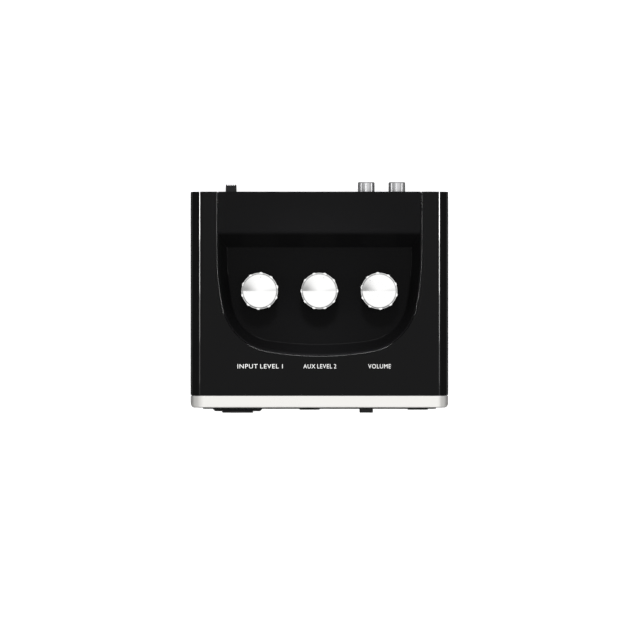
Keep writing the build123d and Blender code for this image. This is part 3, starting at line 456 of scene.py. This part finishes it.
knobLook = {  # millimetres
    "segments": 240, "ribs": 10, "ribRadius": 1.35, "ribProud": 0.33, "body": 9.12,
    "ribShoulder": 0.22,  # share of a rib's bulge over which the edge between the ribs sinks
    "profile": (  # height above the knob's foot, radius, share of the ribs' bulge, sink between ribs
        (3.0, 3.2, 0, 0), (3.0, 7.35, 0, 0), (0.0, 7.45, 0, 0), (0.0, 8.9, 0, 0), (0.12, 9.08, 0.6, 0),
        (0.3, 9.12, 1, 0), (5.2, 9.12, 1, 0), (10.26, 9.12, 1, 0.15), (10.38, 9.11, 0.98, 0.15),
        (10.42, 9.06, 0.95, 0.14), (10.44, 8.96, 0.88, 0.12), (10.46, 8.64, 0.1, 0.0),
        (10.48, 8.61, 0, 0), (10.80, 8.57, 0, 0), (10.98, 8.50, 0, 0), (11.08, 8.37, 0, 0)),
    "domeEdge": 8.37, "domeRings": 14,
    "dot": {"radius": 0.28, "taper": 0.8, "out": 6.8, "proud": 0.02, "deep": 0.12, "segments": 24},
    "sharp": 50,  # degrees past which an edge stays crisp
    "metal": dict(colour=(0.955, 0.955, 0.95), rough=0.08, metal=1.0, drift=0.008, roughDrift=0.02,
                  grain=0.0003, grainDepth=0.0000002),
}
knobTurns = {"mic_gain": -4.4, "inst_gain": 18.0, "output": 4.8}  # degrees from straight back to a rib
dotRibs = {"mic_gain": 0, "inst_gain": -1, "output": 1}           # which rib from there the dot is on


def ribBulge(angle, look):
    step = 2 * pi / look["ribs"]
    off = (angle + step / 2) % step - step / 2
    centre = look["body"] + look["ribProud"] - look["ribRadius"]
    inside = look["ribRadius"] ** 2 - (centre * sin(off)) ** 2
    if inside <= 0:
        return 0.0
    return max(0.0, centre * cos(off) + sqrt(inside) - look["body"])


def buildKnob(name):
    look = knobLook
    low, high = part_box(f"{name}_knob")
    axis = (low + high) / 2
    turn = radians(90 + knobTurns[name])
    tall = (high.z - low.z) / millimetre

    def placer(up, radius, share, sink):
        def place(co):
            spin = atan2(co.y - axis.y, co.x - axis.x)
            bulge = ribBulge(spin - turn, look)
            reach = (radius + share * bulge) * millimetre
            height = up - sink * (1 - min(1.0, bulge / (look["ribShoulder"] * look["ribProud"])))
            return Vector((axis.x + reach * cos(spin), axis.y + reach * sin(spin),
                           low.z + height * millimetre))
        return place

    shape = bmesh.new()
    bmesh.ops.create_circle(shape, segments=look["segments"], radius=look["profile"][0][1] * millimetre,
                            cap_ends=True, matrix=Matrix.Translation((axis.x, axis.y, low.z)))
    for vert in shape.verts:
        vert.co = placer(*look["profile"][0])(vert.co)
    edges = list(shape.edges)
    for stage in look["profile"][1:]:
        edges = growRing(shape, edges, placer(*stage))
    rise = tall - look["profile"][-1][0]
    for index in range(1, look["domeRings"]):
        share = 1 - index / look["domeRings"]
        edges = growRing(shape, edges, placer(tall - rise * share ** 2, look["domeEdge"] * share, 0, 0))
    crown = bmesh.ops.extrude_edge_only(shape, edges=edges)["geom"]
    crownVerts = [item for item in crown if isinstance(item, bmesh.types.BMVert)]
    bmesh.ops.pointmerge(shape, verts=crownVerts, merge_co=(axis.x, axis.y, high.z))
    material = makeFinish(f"{name}_metal", turned=(axis.x, axis.y, 0.0), **look["metal"])
    knob = finishPiece(f"{name}_knob_turned", shape, material, f"{name}_control", look["sharp"])
    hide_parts(f"{name}_knob")

    dot = look["dot"]
    aim = turn + dotRibs[name] * 2 * pi / look["ribs"]
    dome = tall - rise * (dot["out"] / look["domeEdge"]) ** 2
    centre = Vector((axis.x + dot["out"] * millimetre * cos(aim),
                     axis.y + dot["out"] * millimetre * sin(aim),
                     low.z + (dome + dot["proud"] - dot["deep"] / 2) * millimetre))
    shape = bmesh.new()
    bmesh.ops.create_cone(shape, segments=dot["segments"], radius1=dot["radius"] * millimetre,
                          radius2=dot["radius"] * dot["taper"] * millimetre,
                          depth=dot["deep"] * millimetre, cap_ends=True, matrix=Matrix.Translation(centre))
    finishPiece(f"{name}_pointer_dot", shape, dotPaint, f"{name}_control")


dotPaint = makeFinish("pointer_paint", colour=(0.35, 0.35, 0.36), rough=0.45, specular=0.4)
for knobName in knobTurns:
    buildKnob(knobName)
print("stage: knobs")

footLook = {  # millimetres
    "segments": 72,
    "profile": ((2.5, 5.9), (0.7, 6.0), (0.45, 5.95), (0.2, 5.78), (0.05, 5.5), (0.0, 5.2), (0.0, 4.4),
                (0.08, 4.2), (0.35, 4.1), (0.45, 3.9), (0.45, 1.2)),  # height, radius
}


def buildFoot(name):
    low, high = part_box(name)
    axis = (low + high) / 2
    profile = footLook["profile"]
    outline = [(profile[0][0], 0.0), *profile, (profile[-1][0], 0.0)]
    shape = bmesh.new()
    chain = [shape.verts.new((axis.x + radius * millimetre, axis.y, low.z + up * millimetre))
             for up, radius in outline]
    edges = [shape.edges.new(pair) for pair in zip(chain, chain[1:])]
    bmesh.ops.spin(shape, geom=[*chain, *edges], cent=axis, axis=(0, 0, 1), dvec=(0, 0, 0),
                   angle=2 * pi, steps=footLook["segments"], use_merge=True, use_duplicate=False)
    bmesh.ops.remove_doubles(shape, verts=shape.verts, dist=mergeDistance)
    foot = finishPiece(f"{name}_pad", shape, materials["foot_rubber"], "chassis")
    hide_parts(name)


for footName in ("foot_front_left", "foot_front_right", "foot_rear_left", "foot_rear_right"):
    buildFoot(footName)
print("stage: feet")

# the push button's spring, rebuilt as a smooth coil on the chassis; the real one shortens as the button goes
# in
returnSpring = {"node": "monitor_switch_spring", "joint": "monitor_press", "travel": 0.00163, "sharp": 60}


def buildReturnSpring():
    shape = bmesh.new()
    shape.from_mesh(nodes[returnSpring["node"]].data)
    bmesh.ops.remove_doubles(shape, verts=shape.verts, dist=mergeDistance)
    coil = finishPiece("monitor_return_coil", shape, materials["spring_steel"], "chassis",
                       returnSpring["sharp"])
    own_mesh(coil)
    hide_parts(returnSpring["node"])


buildReturnSpring()
print("stage: return spring")

legendInk = makeFinish("legend_ink", colour=(0.80, 0.80, 0.79), rough=0.5, specular=0.3, drift=0.02,
                       grain=0.0001, grainDepth=0.000001)
legendLook = {
    "wordGap": 0.62, "letterGap": 1.12, "curveSteps": 3,
    "mergeDistance": 0.0001,                                      # while the letters are still 1 m tall
    "thick": 0.00003,
    "topTall": 0.00215, "frontTall": 0.0018, "rearTall": 0.0020,  # letter heights
    "topRow": -0.0344, "topAside": 0.0002,                        # place of the row in front of the dish
    "rearGap": 0.0035,                                            # from a rear legend to the piece it names
}
topLegends = {  # words, width, knob they belong to
    "legend_input_one": ("INPUT LEVEL 1", 0.0226, "mic_gain_knob"),
    "legend_input_two": ("AUX LEVEL 2", 0.0164, "inst_gain_knob"),
    "legend_volume": ("VOLUME", 0.0113, "output_knob"),
}
frontLegends = {  # words, width, node that they name, offset from its middle across and up
    "legend_socket_one": ("INPUT 1", 0.0088, "combo_jack_core", (0.0185, 0.0085)),
    "legend_socket_two": ("INPUT 2", 0.0088, "instrument_jack_housing", (0.0, 0.01095)),
    "legend_monitor": ("MONITOR", 0.0098, "monitor_button_cap", (0.0, 0.0075)),
    "legend_power": ("ON", 0.0030, "power_led", (0.0, 0.0052)),
    "legend_phones": ("PHONES", 0.0088, "headphone_jack_housing", (0.0, 0.01095)),
}
rearLegends = {  # words, width, node that they stand above
    "legend_left": ("L", 0.0012, "output_left_shell"),
    "legend_right": ("R", 0.0015, "output_right_shell"),
    "legend_phantom": ("48V", 0.0046, "phantom_switch_lever"),
}


def addLegend(name, words, tall, wide, place):
    curve = bpy.data.curves.new(name, "FONT")
    curve.body = words
    curve.align_x, curve.align_y = "CENTER", "CENTER"
    curve.space_word, curve.space_character = legendLook["wordGap"], legendLook["letterGap"]
    curve.resolution_u = legendLook["curveSteps"]
    flat = bpy.data.objects.new(name, curve)
    scene.collection.objects.link(flat)
    bpy.context.view_layer.update()
    mesh = bpy.data.meshes.new_from_object(flat.evaluated_get(bpy.context.evaluated_depsgraph_get()))
    bpy.data.objects.remove(flat)
    shape = bmesh.new()
    shape.from_mesh(mesh)
    bmesh.ops.remove_doubles(shape, verts=shape.verts, dist=legendLook["mergeDistance"])
    grown = bmesh.ops.extrude_face_region(shape, geom=shape.faces)["geom"]
    lifted = [item for item in grown if isinstance(item, bmesh.types.BMVert)]
    across = [vert.co.x for vert in shape.verts]
    along = [vert.co.y for vert in shape.verts]
    middle = Vector(((min(across) + max(across)) / 2, (min(along) + max(along)) / 2, 0))
    bmesh.ops.translate(shape, verts=shape.verts, vec=-middle)
    bmesh.ops.translate(shape, verts=lifted, vec=(0, 0, 1))
    bmesh.ops.scale(shape, verts=shape.verts, vec=(wide / (max(across) - min(across)),
                                                   tall / (max(along) - min(along)), legendLook["thick"]))
    bmesh.ops.transform(shape, verts=shape.verts, matrix=place)
    finishPiece(name, shape, legendInk, "chassis")


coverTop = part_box("top_cover")[1].z
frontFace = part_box("front_panel")[0].y
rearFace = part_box("rear_panel")[1].y
standUp = Matrix.Rotation(pi / 2, 4, "X")
faceBack = Matrix.Rotation(pi, 4, "Z") @ standUp
for legendName, (words, wide, node) in topLegends.items():
    low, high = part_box(node)
    middle = (low.x + high.x) / 2 + legendLook["topAside"]
    place = Matrix.Translation((middle, legendLook["topRow"], coverTop))
    addLegend(legendName, words, legendLook["topTall"], wide, place)
for legendName, (words, wide, node, (aside, above)) in frontLegends.items():
    low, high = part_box(node)
    place = Matrix.Translation(((low.x + high.x) / 2 + aside, frontFace, (low.z + high.z) / 2 + above))
    addLegend(legendName, words, legendLook["frontTall"], wide, place @ standUp)
for legendName, (words, wide, node) in rearLegends.items():
    low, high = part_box(node)
    place = Matrix.Translation(((low.x + high.x) / 2, rearFace, high.z + legendLook["rearGap"]))
    addLegend(legendName, words, legendLook["rearTall"], wide, place @ faceBack)
print("stage: legends")

lightStage()
layFloor()
scene.view_settings.view_transform = "Standard"
print("stage: light and floor")
